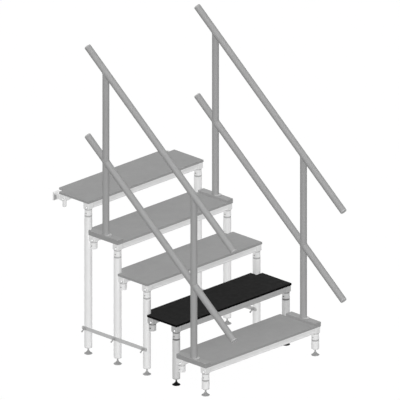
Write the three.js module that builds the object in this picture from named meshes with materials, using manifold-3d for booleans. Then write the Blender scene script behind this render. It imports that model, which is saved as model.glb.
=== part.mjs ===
// Modular stage stairs: five treads on their own legs, each tread bolted to the legs of the
// next, with tube handrails on both sides and claws that hook on to the stage.
// Millimetres, +X along the treads, +Y up the stairs, +Z up, feet on Z = 0.

import * as THREE from "three";
import { mergeVertices } from "three/addons/utils/BufferGeometryUtils.js";
import Module from "manifold-3d";

const wasm = await Module();
wasm.setup();

// The flight of steps
const step_count = 5;
const riser = 200;
const going = 250;
const stair_width = 1000;

// Clearances
const seat_gap = 0.3;
const leg_clearance = 0.85;
const overrun = 5;

// Leg: a round tube with a plug and spigot on top and a threaded insert at its foot
const leg_diameter = 48.3;
const leg_wall = 3.2;
const leg_plug = 7;
const insert_height = 15;
const floor_gap = 42;
const spigot_diameter = 34;
const spigot_end_gap = 2;
const collar_diameter = 46;
const collar_height = 11;

// Levelling foot: a disc with a cone and a threaded spindle
const pad_diameter = 51;
const pad_height = 3;
const cone_base_diameter = 44;
const cone_top_diameter = 15;
const cone_height = 16;
const spindle_diameter = 12;
const spindle_engagement = 24;

// Tread panel
const panel_thickness = 14;

// Tread frame: two long rails with a groove, cross rails, and a casting in each corner
const rail_height = 37;
const rail_depth = 30;
const groove_height = 9;
const groove_depth = 3;
const groove_drop = 20;
const cross_rail_width = 30;
const cross_rail_height = 30;
const cross_rail_inset = 100;
const rail_inset = 4;
const head_size = 45;
const head_height = 39;
const head_taper = 10;
const socket_diameter = 46;
const socket_drop = 94;
const socket_depth = 50;
const socket_rim_diameter = 49;
const socket_rim_height = 8;
const socket_cap = 6;

// Tie bars between the taller legs, each held by a clamp lever on a stud
const tie_first_step = 3;
const tie_height = 172;
const tie_bar_height = 24;
const tie_bar_thickness = 5;
const tie_bar_overhang = 27;
const stud_diameter = 10;
const stud_reach = 14;
const lever_hub_diameter = 17;
const lever_hub_length = 12;
const lever_reach = 26;
const lever_spread = 9;
const lever_back_share = 0.45;
const lever_diameter = 8;
const lever_tip_diameter = 10;
const lever_bore_gap = 0.6;

// Handrails: two sloping tubes on two posts
const post_steps = [1, 4];
const post_setback = 125;
const rail_diameter = 42.4;
const rail_wall = 2.6;
const handrail_height = 1073;
const rail_spacing = 580;
const rail_front_overhang = 344;
const rail_rear_overhang = 158;
const rail_cap = 7;
const base_height = 16;
const base_chamfer = 2;
const flange_diameter = 48;
const flange_height = 5;
const flange_offset = 18;

// Claws at the back of the top tread, and the knobs that clamp them
const claw_width = 24;
const claw_shank_height = 24;
const claw_shank_grip = 44;
const claw_head_height = 55;
const claw_head_depth = 36;
const claw_overhang = 6;
const claw_head_drop = 4;
const claw_nose_depth = 5;
const claw_nose_rise = 18;
const knob_diameter = 25;
const knob_drop = 98;
const knob_rounding = 6;
const knob_stem_diameter = 12;
const knob_lift_gap = 0.7;

// Facets round each kind of piece
const tube_sides = 16;
const small_sides = 12;
const bore_sides = 8;

// Sizes that follow from the ones above
const leg_radius = leg_diameter / 2;
const leg_inset = leg_radius + leg_clearance;
const notch = 2 * leg_inset;
const panel_depth = going + notch;
const frame_drop = panel_thickness + seat_gap;
const rail_bottom_drop = frame_drop + rail_height;
const head_bottom_drop = frame_drop + head_height;
const rear_head_back = going + leg_inset - leg_radius - seat_gap;
const rear_socket_y = rear_head_back - socket_diameter / 2;
const collar_drop = socket_drop + seat_gap;
const leg_top_drop = collar_drop + collar_height + seat_gap;
const spigot_length = leg_top_drop - socket_drop + socket_depth - spigot_end_gap;
const slope = riser / going;
const run_share = going / Math.hypot(going, riser);
const sides = ["left", "right"];
const steps = Array.from({ length: step_count }, (_, i) => i + 1);

const material = (hex, roughness, metalness) => () =>
  new THREE.MeshStandardMaterial({ color: hex, roughness, metalness });
const finishes = {
  grey_board: material(0x979797, 0.75, 0),
  black_board: material(0x2a2a2a, 0.75, 0),
  pale_aluminium: material(0xcccccc, 0.45, 0.6),
  aluminium: material(0xa6a6a6, 0.4, 0.7),
  pale_tube: material(0xe0e0e0, 0.45, 0.4),
  tube: material(0xc2c2c2, 0.4, 0.5),
  grey_plastic: material(0x8a8a8a, 0.6, 0),
  black_plastic: material(0x101010, 0.6, 0),
  grey_steel: material(0x929292, 0.5, 0.3),
};
// The second step from the floor is in its full colours, and the others are paler.
const dark_step = 2;
const finishOf = (step, dark, pale) => (step === dark_step ? dark : pale);

const topOf = (step) => step * riser;
const frontOf = (step) => (step - 1) * going;
const legX = (side) => (side === "left" ? leg_inset : stair_width - leg_inset);
const legY = (step) => frontOf(step) + leg_inset;

// A closed geometry as a solid that can be joined to others and cut.
function solid(geometry) {
  geometry.deleteAttribute("normal");
  geometry.deleteAttribute("uv");
  const merged = mergeVertices(geometry);
  return new wasm.Manifold(
    new wasm.Mesh({
      numProp: 3,
      vertProperties: merged.attributes.position.array,
      triVerts: new Uint32Array(merged.index.array),
    }),
  );
}

function geometryOf(shape) {
  const mesh = shape.getMesh();
  const geometry = new THREE.BufferGeometry();
  const positions = new THREE.BufferAttribute(mesh.vertProperties, 3);
  geometry.setAttribute("position", positions);
  geometry.setIndex(new THREE.BufferAttribute(mesh.triVerts, 1));
  const faceted = geometry.toNonIndexed();
  faceted.computeVertexNormals();
  return faceted;
}

const joined = (...shapes) => shapes.reduce((whole, shape) => whole.add(shape));
const cut = (shape, ...tools) => tools.reduce((rest, tool) => rest.subtract(tool), shape);

// A box between two values on each axis.
function box([x0, x1], [y0, y1], [z0, z1]) {
  const geometry = new THREE.BoxGeometry(x1 - x0, y1 - y0, z1 - z0);
  geometry.translate((x0 + x1) / 2, (y0 + y1) / 2, (z0 + z1) / 2);
  return solid(geometry);
}

// A round bar or cone from one point to another.
function rod(diameter, from, to, sideCount = tube_sides, endDiameter = diameter) {
  const start = new THREE.Vector3(...from);
  const run = new THREE.Vector3(...to).sub(start);
  const geometry = new THREE.CylinderGeometry(
    endDiameter / 2,
    diameter / 2,
    run.length(),
    sideCount,
  );
  const up = new THREE.Vector3(0, 1, 0);
  const turn = new THREE.Quaternion().setFromUnitVectors(up, run.clone().normalize());
  geometry.applyQuaternion(turn);
  geometry.translate(...start.addScaledVector(run, 1 / 2).toArray());
  return solid(geometry);
}

// A turned piece about the Z axis, from an outline of [radius, height] points.
function turned(outline, sideCount) {
  const points = outline.map(([radius, height]) => new THREE.Vector2(radius, height));
  const geometry = new THREE.LatheGeometry(points, sideCount);
  geometry.rotateX(Math.PI / 2);
  return solid(geometry);
}

const stairs = new THREE.Group();

function place(name, shape, finish, [x, y, z] = [0, 0, 0]) {
  const mesh = new THREE.Mesh(geometryOf(shape), finishes[finish]());
  mesh.name = name;
  mesh.position.set(x, y, z);
  stairs.add(mesh);
}

// The board of a tread, with a notch in each back corner for the legs of the next step.
// Drawn with its front left corner at the origin and its top on Z = 0.
function treadPanel() {
  const outline = new THREE.Shape();
  outline.moveTo(0, 0);
  outline.lineTo(stair_width, 0);
  outline.lineTo(stair_width, going);
  outline.lineTo(stair_width - notch, going);
  outline.lineTo(stair_width - notch, panel_depth);
  outline.lineTo(notch, panel_depth);
  outline.lineTo(notch, going);
  outline.lineTo(0, going);
  const geometry = new THREE.ExtrudeGeometry(outline, {
    depth: panel_thickness,
    bevelEnabled: false,
  });
  geometry.translate(0, 0, -panel_thickness);
  return solid(geometry);
}

// A corner casting: a square block that tapers to a round socket below it.
function headCasting(x, y, bottom_drop) {
  const half = head_size / 2;
  const taper_end = head_bottom_drop + head_taper;
  const block = box([x - half, x + half], [y - half, y + half], [-head_bottom_drop, -frame_drop]);
  const cone = rod(
    socket_diameter,
    [x, y, -taper_end],
    [x, y, -head_bottom_drop],
    tube_sides,
    head_size * Math.SQRT2,
  );
  const column = box(
    [x - half, x + half],
    [y - half, y + half],
    [-taper_end, -head_bottom_drop],
  );
  const socket = rod(socket_diameter, [x, y, -bottom_drop], [x, y, -head_bottom_drop]);
  return joined(block, cone.intersect(column), socket);
}

// The welded frame under a tread: front and back rails, cross rails and corner castings.
function treadFrame(step) {
  const top = step === step_count;
  const half = head_size / 2;
  const back_face = rear_socket_y - half;
  const rail_x = [leg_inset, stair_width - leg_inset];
  const rail_z = [-rail_bottom_drop, -frame_drop];
  const front_rail = box(rail_x, [rail_inset, rail_inset + rail_depth], rail_z);
  const back_rail = box(rail_x, [back_face, back_face + rail_depth], rail_z);
  const cross_x = [
    cross_rail_inset,
    (stair_width - cross_rail_width) / 2,
    stair_width - cross_rail_inset - cross_rail_width,
  ];
  const cross_rails = cross_x.map((x) =>
    box(
      [x, x + cross_rail_width],
      [rail_inset + rail_depth / 2, back_face + rail_depth / 2],
      [-frame_drop - cross_rail_height, -frame_drop],
    ),
  );
  const heads = sides.flatMap((side) => {
    const x = legX(side);
    const front = headCasting(x, leg_inset, socket_drop);
    const rim_top = -socket_drop + socket_rim_height;
    const rim = rod(socket_rim_diameter, [x, leg_inset, -socket_drop], [x, leg_inset, rim_top]);
    const pad = box(
      [x - half, x + half],
      [top ? back_face : rear_socket_y, rear_head_back],
      [-head_bottom_drop, -frame_drop],
    );
    const castings = top ? [front] : [front, headCasting(x, rear_socket_y, socket_drop + socket_cap)];
    return [...castings, rim, pad];
  });
  const groove = box(
    [leg_inset + half, stair_width - leg_inset - half],
    [rail_inset - overrun, rail_inset + groove_depth],
    [-frame_drop - groove_drop - groove_height, -frame_drop - groove_drop],
  );
  const bores = sides.map((side) =>
    rod(
      spigot_diameter + 2 * seat_gap,
      [legX(side), leg_inset, -socket_drop - overrun],
      [legX(side), leg_inset, -socket_drop + socket_depth],
    ),
  );
  const guides = top ? sides.flatMap(clawGuide) : [];
  return cut(joined(front_rail, back_rail, ...cross_rails, ...heads), groove, ...bores, ...guides);
}

// The claw's shank runs in the middle of the back block's height.
const shank_z = -(frame_drop + rail_bottom_drop) / 2;

// What is cut from the top frame's back blocks: the claw's channel and the knob's hole.
function clawGuide(side) {
  const x = legX(side);
  const half_width = claw_width / 2 + seat_gap;
  const half_height = claw_shank_height / 2 + seat_gap;
  const channel = box(
    [x - half_width, x + half_width],
    [rear_head_back - claw_shank_grip - seat_gap, rear_head_back + overrun],
    [shank_z - half_height, shank_z + half_height],
  );
  const hole = rod(
    knob_stem_diameter + 2 * seat_gap,
    [x, rear_socket_y, -head_bottom_drop - overrun],
    [x, rear_socket_y, shank_z],
    small_sides,
  );
  return [channel, hole];
}

// A claw: a shank that slides in the frame, a body as large as the frame's block behind it,
// and a tall head with a nose that hooks on to the stage.
function stageClaw() {
  const half_width = head_size / 2;
  const head_top = -panel_thickness - claw_head_drop;
  const head_bottom = head_top - claw_head_height;
  const head_back = panel_depth + claw_overhang;
  const head_front = head_back - claw_head_depth;
  const shank = box(
    [-claw_width / 2, claw_width / 2],
    [rear_head_back - claw_shank_grip, head_front],
    [shank_z - claw_shank_height / 2, shank_z + claw_shank_height / 2],
  );
  const body = box(
    [-half_width, half_width],
    [rear_head_back + seat_gap, head_back - claw_head_depth / 2],
    [-rail_bottom_drop, -frame_drop - claw_head_drop],
  );
  const outline = new THREE.Shape();
  outline.moveTo(head_front, head_top);
  outline.lineTo(head_front, head_bottom + claw_nose_rise);
  outline.lineTo(head_back - claw_nose_depth, head_bottom);
  outline.lineTo(head_back, head_bottom);
  outline.lineTo(head_back, head_top);
  const head = new THREE.ExtrudeGeometry(outline, { depth: head_size, bevelEnabled: false });
  head.translate(0, 0, -half_width);
  head.rotateX(Math.PI / 2);
  head.rotateZ(Math.PI / 2);
  return joined(shank, body, solid(head));
}

// The knob below a claw: its stem bears on the shank and clamps it.
function clawKnob() {
  const stem_top = shank_z - claw_shank_height / 2 - seat_gap;
  const knob_top = -head_bottom_drop - knob_lift_gap;
  const radius = knob_diameter / 2;
  return turned(
    [
      [0, -knob_drop],
      [radius - knob_rounding, -knob_drop],
      [radius, -knob_drop + knob_rounding],
      [radius, knob_top],
      [knob_stem_diameter / 2, knob_top],
      [knob_stem_diameter / 2, stem_top],
      [0, stem_top],
    ],
    small_sides,
  );
}

// A leg, with its outline from the spindle's bore up the outside to the spigot.
function leg(step) {
  const top = topOf(step) - leg_top_drop;
  const bore_radius = spindle_diameter / 2 + seat_gap;
  const inner_radius = leg_radius - leg_wall;
  const tube = turned(
    [
      [0, top - leg_plug],
      [inner_radius, top - leg_plug],
      [inner_radius, floor_gap + insert_height],
      [bore_radius, floor_gap + insert_height],
      [bore_radius, floor_gap],
      [leg_radius, floor_gap],
      [leg_radius, top],
      [spigot_diameter / 2, top],
      [spigot_diameter / 2, top + spigot_length],
      [0, top + spigot_length],
    ],
    tube_sides,
  );
  if (step < tie_first_step) return tube;
  const stud = rod(
    stud_diameter,
    [-leg_radius + leg_wall / 2, 0, tie_height],
    [-leg_radius - stud_reach, 0, tie_height],
    bore_sides,
  );
  return joined(tube, stud);
}

function legCollar() {
  const inner_radius = spigot_diameter / 2 + seat_gap;
  return turned(
    [
      [inner_radius, 0],
      [collar_diameter / 2, 0],
      [collar_diameter / 2, collar_height],
      [inner_radius, collar_height],
      [inner_radius, 0],
    ],
    tube_sides,
  );
}

function levellingFoot() {
  const cone_top = pad_height + cone_height;
  const spindle_top = floor_gap + spindle_engagement;
  return turned(
    [
      [0, 0],
      [pad_diameter / 2, 0],
      [pad_diameter / 2, pad_height],
      [cone_base_diameter / 2, pad_height],
      [cone_top_diameter / 2, cone_top],
      [spindle_diameter / 2, cone_top],
      [spindle_diameter / 2, spindle_top],
      [0, spindle_top],
    ],
    small_sides,
  );
}

// The face of a tie bar lies against the legs, so its middle is this far out from their axes.
const tie_offset = leg_radius + seat_gap + tie_bar_thickness / 2;

// A flat bar with round ends and a hole for each stud, standing on edge along the stairs.
function tieBar() {
  const length = (step_count - tie_first_step) * going;
  const half_height = tie_bar_height / 2;
  const end = tie_bar_overhang - half_height;
  const outline = new THREE.Shape();
  outline.absarc(-end, 0, half_height, Math.PI / 2, (3 * Math.PI) / 2);
  outline.absarc(length + end, 0, half_height, -Math.PI / 2, Math.PI / 2);
  for (const step of steps.filter((number) => number >= tie_first_step)) {
    const hole = new THREE.Path();
    const hole_radius = stud_diameter / 2 + seat_gap;
    hole.absarc((step - tie_first_step) * going, 0, hole_radius, 0, 2 * Math.PI, true);
    outline.holes.push(hole);
  }
  const geometry = new THREE.ExtrudeGeometry(outline, {
    depth: tie_bar_thickness,
    bevelEnabled: false,
    curveSegments: bore_sides / 2,
  });
  geometry.translate(0, 0, -tie_bar_thickness / 2);
  geometry.rotateX(Math.PI / 2);
  geometry.rotateZ(Math.PI / 2);
  return solid(geometry);
}

// A clamp lever on a stud: a hub with a bore, and an arm that leans down, back and outwards.
function clampLever() {
  const near = -tie_offset - tie_bar_thickness / 2 - seat_gap;
  const far = near - lever_hub_length;
  const hub = rod(lever_hub_diameter, [near, 0, 0], [far, 0, 0], small_sides);
  const root = [far + lever_diameter / 2, 0, 0];
  const tip = [
    root[0] - lever_spread,
    lever_reach * lever_back_share,
    -lever_reach * Math.sqrt(1 - lever_back_share ** 2),
  ];
  const arm = rod(lever_diameter, root, tip, bore_sides, lever_tip_diameter);
  const bore = rod(
    stud_diameter + 2 * lever_bore_gap,
    [near + overrun, 0, 0],
    [-leg_radius - stud_reach - seat_gap, 0, 0],
    bore_sides,
  );
  return cut(joined(hub, arm), bore);
}

// The flat bar that lies along the side of a tread and carries a handrail post.
function railBase() {
  const outline = new THREE.Shape();
  outline.moveTo(0, 0);
  outline.lineTo(notch, 0);
  outline.lineTo(notch, base_height - base_chamfer);
  outline.lineTo(notch - base_chamfer, base_height);
  outline.lineTo(base_chamfer, base_height);
  outline.lineTo(0, base_height - base_chamfer);
  const geometry = new THREE.ExtrudeGeometry(outline, {
    depth: going,
    bevelEnabled: false,
  });
  geometry.rotateX(Math.PI / 2);
  geometry.translate(0, going, 0);
  return solid(geometry);
}

const flange_bottom = seat_gap + base_height + seat_gap;
const postY = (step) => frontOf(step) + post_setback;

// The height of a sloping rail's axis over the floor, at a place along the stairs.
const railZ = (y, drop) => {
  const first = post_steps[0];
  return topOf(first) + handrail_height + (y - postY(first)) * slope - drop;
};

// One side's handrail, welded from two posts with flanges and two rails with capped ends.
function handrail() {
  const first_y = postY(post_steps[0]) - rail_front_overhang;
  const last_y = postY(post_steps.at(-1)) + rail_rear_overhang;
  const bore = rail_diameter - 2 * rail_wall;
  const bore_start = first_y + rail_cap * run_share;
  const bore_end = last_y - rail_cap * run_share;
  const drops = [0, rail_spacing];
  const rails = drops.map((drop) =>
    rod(
      rail_diameter,
      [0, first_y, railZ(first_y, drop)],
      [0, last_y, railZ(last_y, drop)],
    ),
  );
  const rail_bores = drops.map((drop) =>
    rod(
      bore,
      [0, bore_start, railZ(bore_start, drop)],
      [0, bore_end, railZ(bore_end, drop)],
      bore_sides,
    ),
  );
  const posts = post_steps.flatMap((step) => {
    const y = postY(step);
    const bottom = topOf(step) + flange_bottom;
    const flange_top = bottom + flange_height;
    return [
      rod(rail_diameter, [0, y, bottom], [0, y, railZ(y, 0)]),
      rod(flange_diameter, [0, y, bottom], [0, y, flange_top]),
      rod(flange_diameter, [0, y - flange_offset, bottom], [0, y - flange_offset, flange_top]),
      box(
        [-flange_diameter / 2, flange_diameter / 2],
        [y - flange_offset, y],
        [bottom, flange_top],
      ),
    ];
  });
  const post_bores = post_steps.map((step) => {
    const y = postY(step);
    const start = topOf(step) + flange_bottom - overrun;
    return rod(bore, [0, y, start], [0, y, railZ(y, 0)], bore_sides);
  });
  return cut(joined(...rails, ...posts), ...rail_bores, ...post_bores);
}

for (const step of steps) {
  const corner = [0, frontOf(step), topOf(step)];
  const board = finishOf(step, "black_board", "grey_board");
  const metal = finishOf(step, "aluminium", "pale_aluminium");
  const plastic = finishOf(step, "black_plastic", "grey_plastic");
  place(`tread_panel_${step}`, treadPanel(), board, corner);
  place(`tread_frame_${step}`, treadFrame(step), metal, corner);
  for (const side of sides) {
    const x = legX(side);
    const y = legY(step);
    place(`leg_${step}_${side}`, leg(step), finishOf(step, "tube", "pale_tube"), [x, y, 0]);
    const collar_z = topOf(step) - collar_drop - collar_height;
    place(`leg_collar_${step}_${side}`, legCollar(), plastic, [x, y, collar_z]);
    place(`foot_${step}_${side}`, levellingFoot(), plastic, [x, y, 0]);
    if (step >= tie_first_step) {
      place(`tie_lever_${step}_${side}`, clampLever(), "grey_steel", [x, y, tie_height]);
    }
    if (post_steps.includes(step)) {
      const base_x = side === "left" ? 0 : stair_width - notch;
      const base = [base_x, frontOf(step), topOf(step) + seat_gap];
      place(`rail_base_${step}_${side}`, railBase(), "grey_board", base);
    }
  }
}

for (const side of sides) {
  const x = legX(side);
  const tie_place = [x - tie_offset, legY(tie_first_step), tie_height];
  const top_place = [x, frontOf(step_count), topOf(step_count)];
  place(`tie_bar_${side}`, tieBar(), "grey_steel", tie_place);
  place(`handrail_${side}`, handrail(), "grey_steel", [x, 0, 0]);
  place(`stage_claw_${side}`, stageClaw(), "pale_aluminium", top_place);
  const knob_place = [x, frontOf(step_count) + rear_socket_y, topOf(step_count)];
  place(`claw_knob_${side}`, clawKnob(), "pale_aluminium", knob_place);
}

// The origin is on the floor, under the middle of the whole object.
const bounds = new THREE.Box3().setFromObject(stairs);
const middle = bounds.getCenter(new THREE.Vector3());
stairs.position.set(-middle.x, -middle.y, -bounds.min.z);

export default stairs;
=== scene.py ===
"""Looks of the modular stage stairs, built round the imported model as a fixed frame."""

import math

import bmesh
import bpy
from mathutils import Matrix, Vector


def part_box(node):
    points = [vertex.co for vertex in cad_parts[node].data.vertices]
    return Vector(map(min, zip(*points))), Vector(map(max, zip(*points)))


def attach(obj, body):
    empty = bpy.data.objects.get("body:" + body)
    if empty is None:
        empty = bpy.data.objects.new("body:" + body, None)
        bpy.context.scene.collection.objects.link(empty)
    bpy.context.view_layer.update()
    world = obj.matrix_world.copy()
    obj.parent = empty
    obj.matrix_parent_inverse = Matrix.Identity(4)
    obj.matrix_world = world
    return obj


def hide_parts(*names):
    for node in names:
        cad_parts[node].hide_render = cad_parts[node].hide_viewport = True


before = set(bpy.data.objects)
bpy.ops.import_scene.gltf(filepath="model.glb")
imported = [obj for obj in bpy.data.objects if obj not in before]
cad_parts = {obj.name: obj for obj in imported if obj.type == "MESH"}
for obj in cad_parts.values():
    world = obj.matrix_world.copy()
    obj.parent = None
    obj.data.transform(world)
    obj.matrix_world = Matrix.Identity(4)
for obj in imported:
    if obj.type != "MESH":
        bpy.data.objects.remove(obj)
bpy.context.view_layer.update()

# -------------------------------- sizes in millimetres
# X runs from the left end of the treads, Y from the front of the first tread, Z from the floor.
# A drop is measured down from the top of a tread. Other sizes of one kind of piece stand above
# the functions that make it.
MM = 0.001
SIDES = ("left", "right")
STEPS = range(1, 6)
TOP_STEP = 5
DARK_STEP = 2
RISER = 200
GOING = 250
SLOPE = RISER / GOING
WIDTH = 1000
SEAT_GAP = 0.3

LEG_RADIUS = 24.15
LEG_WALL = 2.6
LEG_INSET = 25
LEG_TOP_DROP = 105.6
LEG_CAP = 5.5
FLOOR_GAP = 42
FOOT_BORE_TOP = FLOOR_GAP + 45.4
SPIGOT_RADIUS = 17
SPIGOT_LENGTH = 59.6
SPIGOT_BORE = SPIGOT_RADIUS + SEAT_GAP
COLLAR_RADIUS = 23
COLLAR_HEIGHT = 11
SPINDLE_RADIUS = 5.2
SPINDLE_BORE = 6.3
SPINDLE_ENDS = (18, 66)
FOOT_RIM = 4.4

NOTCH = 2 * LEG_INSET
PANEL_DEPTH = GOING + NOTCH
PANEL_THICKNESS = 14

FRAME_DROP = PANEL_THICKNESS + SEAT_GAP
RAIL_HEIGHT = 37
RAIL_DEPTH = 30
RAIL_INSET = 4
RAIL_END = NOTCH - 4
RAIL_BOTTOM_DROP = FRAME_DROP + RAIL_HEIGHT
FRONT_RAIL_BACK = RAIL_INSET + RAIL_DEPTH
GROOVE_DROP = 20
GROOVE_HEIGHT = 9
GROOVE_DEPTH = 3
CROSS_RAIL = 30
CROSS_RAIL_X = (100, 485, 870)
CROSS_RAIL_OVERLAP = 0.5
HEAD_HALF = 22.5
HEAD_BOTTOM_DROP = FRAME_DROP + 39
REAR_HEAD_BACK = 250.55
REAR_SOCKET_Y = REAR_HEAD_BACK - 23
BACK_FACE = REAR_SOCKET_Y - HEAD_HALF
SOCKET_RADIUS = 23
SOCKET_RIM = 24.5
SOCKET_DROP = 94
SOCKET_BORE_DEPTH = 50

TIE_STEPS = (3, 4, 5)
TIE_HEIGHT = 172
TIE_BAR_HEIGHT = 24
TIE_BAR_THICKNESS = 5
TIE_BAR_OVERHANG = 27
TIE_OFFSET = LEG_RADIUS + SEAT_GAP + TIE_BAR_THICKNESS / 2
STUD_RADIUS = 5
STUD_ROOT = -2
STUD_REACH = 14
HUB_RADIUS = 8.5
HUB_NEAR = TIE_OFFSET + TIE_BAR_THICKNESS / 2 + SEAT_GAP
HUB_FAR = HUB_NEAR + 12

POST_STEPS = (1, 4)
POST_SETBACK = 125
TUBE_RADIUS = 21.2
HANDRAIL_HEIGHT = 1073
RAIL_DROPS = (0, 580)
RAIL_CAP = 7
FRONT_OVERHANG = 344
REAR_OVERHANG = 158
BASE_HEIGHT = 16
FLANGE_RADIUS = 24
FLANGE_HEIGHT = 5
FLANGE_PLATE = 3
FLANGE_OFFSET = 18

CLAW_HALF = 12
CLAW_GRIP = 44
CLAW_HEAD_BACK = PANEL_DEPTH + 6
CLAW_HEAD_FRONT = CLAW_HEAD_BACK - 36
CLAW_HEAD_TOP = -PANEL_THICKNESS - 4
CLAW_HEAD_BOTTOM = CLAW_HEAD_TOP - 55
CLAW_NECK_END = CLAW_HEAD_FRONT + 4
CLAW_BODY_HALF = HEAD_HALF - 0.6
CLAW_BODY_TOP = -FRAME_DROP - 4
SHANK_Z = -(FRAME_DROP + RAIL_BOTTOM_DROP) / 2
STEM_RADIUS = 6
KNOB_RADIUS = 12.5
KNOB_BOTTOM = -98
KNOB_TOP = -HEAD_BOTTOM_DROP - 0.7
STEM_BOTTOM = KNOB_TOP - 2

# Points round a turned shape.
ROUND = 48
SMALL_ROUND = 24
TUBE_ROUND = 64
HUB_ROUND = 32
KNOB_ROUND = 60
SHARP_ANGLE = math.radians(32)

panel_low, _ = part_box("tread_panel_1")
ORIGIN = Vector((panel_low.x, panel_low.y, 0))


def top_of(step):
    return step * RISER


def front_of(step):
    return (step - 1) * GOING


def leg_x(side):
    return LEG_INSET if side == "left" else WIDTH - LEG_INSET


def leg_place(step, side):
    return leg_x(side), front_of(step) + LEG_INSET


def outward(side):
    return -1 if side == "left" else 1


# -------------------------------- shapes
# A shape is (points, faces), in millimetres.

# A rounded corner takes up less than half of the edges beside it.
CORNER_SHARE = 0.49


def moved(shape, x=0, y=0, z=0):
    points, faces = shape
    return [(a + x, b + y, c + z) for a, b, c in points], faces


def aimed(shape, origin, direction):
    """The shape with its +Z turned to a direction, and its origin moved to a point."""
    turn = Vector((0, 0, 1)).rotation_difference(Vector(direction))
    points, faces = shape
    return [tuple(turn @ Vector(p) + Vector(origin)) for p in points], faces


def placed(shapes, place=(0, 0, 0), mark=0):
    """Shapes moved to a place, each with the number of its material."""
    return [(moved(shape, *place), mark) for shape in shapes]


def loft(rings, closed=False):
    """Faces between rings with equal numbers of points, with a flat cap at each end. A closed
    loft has no caps, and goes on from its last ring to its first."""
    count = len(rings[0])
    points = [tuple(p) for ring in rings for p in ring]
    faces = []
    last = len(rings) if closed else len(rings) - 1
    for i in range(last):
        low, high = i * count, (i + 1) % len(rings) * count
        for j in range(count):
            k = (j + 1) % count
            faces.append((low + j, low + k, high + k, high + j))
    if not closed:
        faces.append(tuple(reversed(range(count))))
        faces.append(tuple(range(len(points) - count, len(points))))
    return points, faces


def near(radius, height, *steps):
    """Points of a profile at small steps from a radius and a height."""
    return [(radius + outwards, height + up) for outwards, up in steps]


def lathe(profile, sides=ROUND, closed=False, grip=None):
    """A turned shape about Z from (radius, height) points. grip(angle, height) is the share of
    the radius that is left there."""
    rings = []
    for radius, height in profile:
        ring = []
        for i in range(sides):
            angle = 2 * math.pi * (i + 0.5) / sides
            r = radius * (grip(angle, height) if grip else 1)
            ring.append((r * math.cos(angle), r * math.sin(angle), height))
        rings.append(ring)
    return loft(rings, closed)


def square_ring(half_x, half_y, radius, z, y=0):
    """A ring round a square with rounded corners, which is a circle where radius = half."""
    ring = []
    for i in range(ROUND):
        corner = i // (ROUND // 4)
        angle = 2 * math.pi * (i + 0.5) / ROUND
        sx = 1 if corner in (0, 3) else -1
        sy = 1 if corner in (0, 1) else -1
        ring.append((
            sx * (half_x - radius) + radius * math.cos(angle),
            y + sy * (half_y - radius) + radius * math.sin(angle),
            z,
        ))
    return ring


def hex_ring(flat, z):
    """A ring round a hexagon whose flats are this far from the middle."""
    ring = []
    for i in range(SMALL_ROUND):
        angle = 2 * math.pi * i / SMALL_ROUND
        away = (angle + math.pi / 6) % (math.pi / 3) - math.pi / 6
        r = flat / math.cos(away)
        ring.append((r * math.cos(angle), r * math.sin(angle), z))
    return ring


def circle_ring(radius, z, sides=SMALL_ROUND):
    angles = [2 * math.pi * i / sides for i in range(sides)]
    return [(radius * math.cos(a), radius * math.sin(a), z) for a in angles]


def fillet(corners, radius, steps=3):
    """An outline with its corners rounded, by one radius or by one for each corner."""
    radii = radius if isinstance(radius, (list, tuple)) else [radius] * len(corners)
    outline = []
    for i, (corner, r) in enumerate(zip(corners, radii)):
        here = Vector(corner)
        before, after = Vector(corners[i - 1]), Vector(corners[(i + 1) % len(corners)])
        u, v = (before - here).normalized(), (after - here).normalized()
        half = u.angle(v) / 2
        room = CORNER_SHARE * min((before - here).length, (after - here).length)
        reach = min(r / math.tan(half), room)
        r = reach * math.tan(half)
        centre = here + (u + v).normalized() * (r / math.sin(half))
        start, end = here + u * reach - centre, here + v * reach - centre
        first = math.atan2(start.y, start.x)
        turn = (math.atan2(end.y, end.x) - first + math.pi) % (2 * math.pi) - math.pi
        for k in range(steps + 1):
            angle = first + turn * k / steps
            outline.append(centre + Vector((math.cos(angle), math.sin(angle))) * r)
    return outline


def inset(outline, distance):
    """The outline moved inwards, for one that runs anticlockwise."""
    result = []
    count = len(outline)
    for i, here in enumerate(outline):
        a = (here - outline[i - 1]).normalized()
        b = (outline[(i + 1) % count] - here).normalized()
        normal_a, normal_b = Vector((-a.y, a.x)), Vector((-b.y, b.x))
        result.append(here + (normal_a + normal_b) * (distance / (1 + normal_a.dot(normal_b))))
    return result


def prism(corners, low, high, axis, round_by, soft):
    """An outline drawn out along an axis, with rounded corners and softened end edges.
    The outline's coordinates are (Y, Z) for X, (X, Z) for Y and (X, Y) for Z."""
    outline = fillet(corners, round_by) if round_by else [Vector(c) for c in corners]
    area = sum(a.x * b.y - b.x * a.y for a, b in zip(outline, outline[1:] + outline[:1]))
    if area < 0:
        outline.reverse()
    levels = [(low, 0), (high, 0)]
    if soft:
        turns = [math.radians(a) for a in (0, 45, 90)]
        ends = [(soft * (1 - math.sin(t)), soft * (1 - math.cos(t))) for t in turns]
        levels = [(low + along, inwards) for along, inwards in reversed(ends)]
        levels += [(high - along, inwards) for along, inwards in ends]
    place = {
        "X": lambda p, w: (w, p.x, p.y),
        "Y": lambda p, w: (p.x, w, p.y),
        "Z": lambda p, w: (p.x, p.y, w),
    }[axis]
    rings = []
    for level, inwards in levels:
        ring = inset(outline, inwards) if inwards else outline
        rings.append([place(p, level) for p in ring])
    return loft(rings)


def block(x, y, z, axis, round_by, soft):
    """A box between two values on each axis, with rounded edges."""
    spans = {"X": (y, z, x), "Y": (x, z, y), "Z": (x, y, z)}[axis]
    (a0, a1), (b0, b1), (low, high) = spans
    return prism([(a0, b0), (a1, b0), (a1, b1), (a0, b1)], low, high, axis, round_by, soft)


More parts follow.
